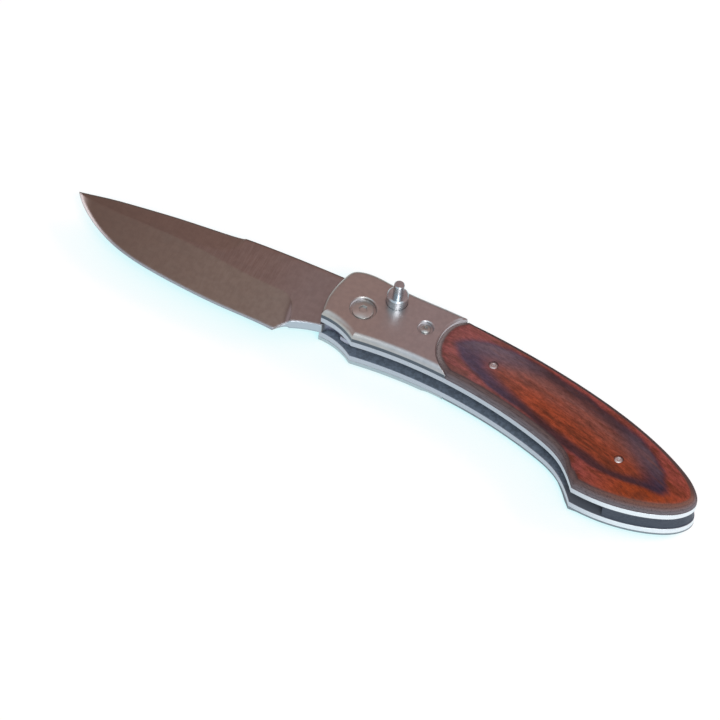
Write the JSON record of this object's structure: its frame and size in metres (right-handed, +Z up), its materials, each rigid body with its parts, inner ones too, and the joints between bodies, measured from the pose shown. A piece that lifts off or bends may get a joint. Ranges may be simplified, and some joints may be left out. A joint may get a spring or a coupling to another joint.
{
  "type": "folding pocket knife",
  "caption": "Push-button folding knife with a drop-point blade, steel liners and bolsters, bevelled wood scales and a plunge lock, lying open on its side.",
  "frame": {"origin": "on the resting plane, on the flat outer face of the lower wood scale, below the middle of the handle, 50 mm behind the pivot axis and 3 mm to its belly side", "axes": "+X from the blade's tip towards the butt, +Y from the edge towards the back, +Z up through the handle, out of the button's side"},
  "size_m": [0.1932, 0.0395, 0.0224],
  "materials": {
    "blade_steel": "satin, ground lengthwise",
    "bolster_steel": "satin",
    "liner_steel": "bright edges, darker inside faces",
    "screw_steel": "polished",
    "button_steel": "turned, bright chamfers",
    "spring_wire": "drawn wire",
    "washer_bronze": "plain bronze sheet",
    "spacer_black": "matt, fine texture",
    "stained_wood": "dyed laminated wood, oiled, with a grey-brown bevel"
  },
  "bodies": {
    "handle": {"washer_top": "washer_bronze", "washer_bottom": "washer_bronze", "pivot_barrel": "screw_steel", "pivot_screw": "screw_steel", "stop_pin": "screw_steel", "button_spring": "spring_wire", "opening_spring": "spring_wire", "liner_top": "liner_steel", "liner_bottom": "liner_steel", "bolster_top": "bolster_steel", "bolster_bottom": "bolster_steel", "scale_top": "stained_wood", "scale_bottom": "stained_wood", "bolster_screw_top": "screw_steel", "bolster_screw_bottom": "screw_steel", "scale_screws_top": "screw_steel", "scale_screws_bottom": "screw_steel", "backspacer": "spacer_black", "backspacer_pins": "screw_steel"},
    "blade": {"blade": "blade_steel"},
    "button": {"lock_button": "button_steel"}
  },
  "joints": [
    {"name": "blade_fold", "type": "hinge", "parent": "handle", "child": "blade", "pos_m": [-0.05, 0.003, 0.0073], "axis": [0, 0, 1], "range_deg": [0, 170], "stiffness_Nm_per_rad": 0.05, "springref_deg": -85.94, "deforming": ["opening_spring"]},
    {"name": "button_press", "type": "slide", "parent": "handle", "child": "button", "axis": [0, 0, -1], "range_m": [0, 0.0018], "stiffness_N_per_m": 500, "springref_m": -0.004, "deforming": ["button_spring"]}
  ]
}
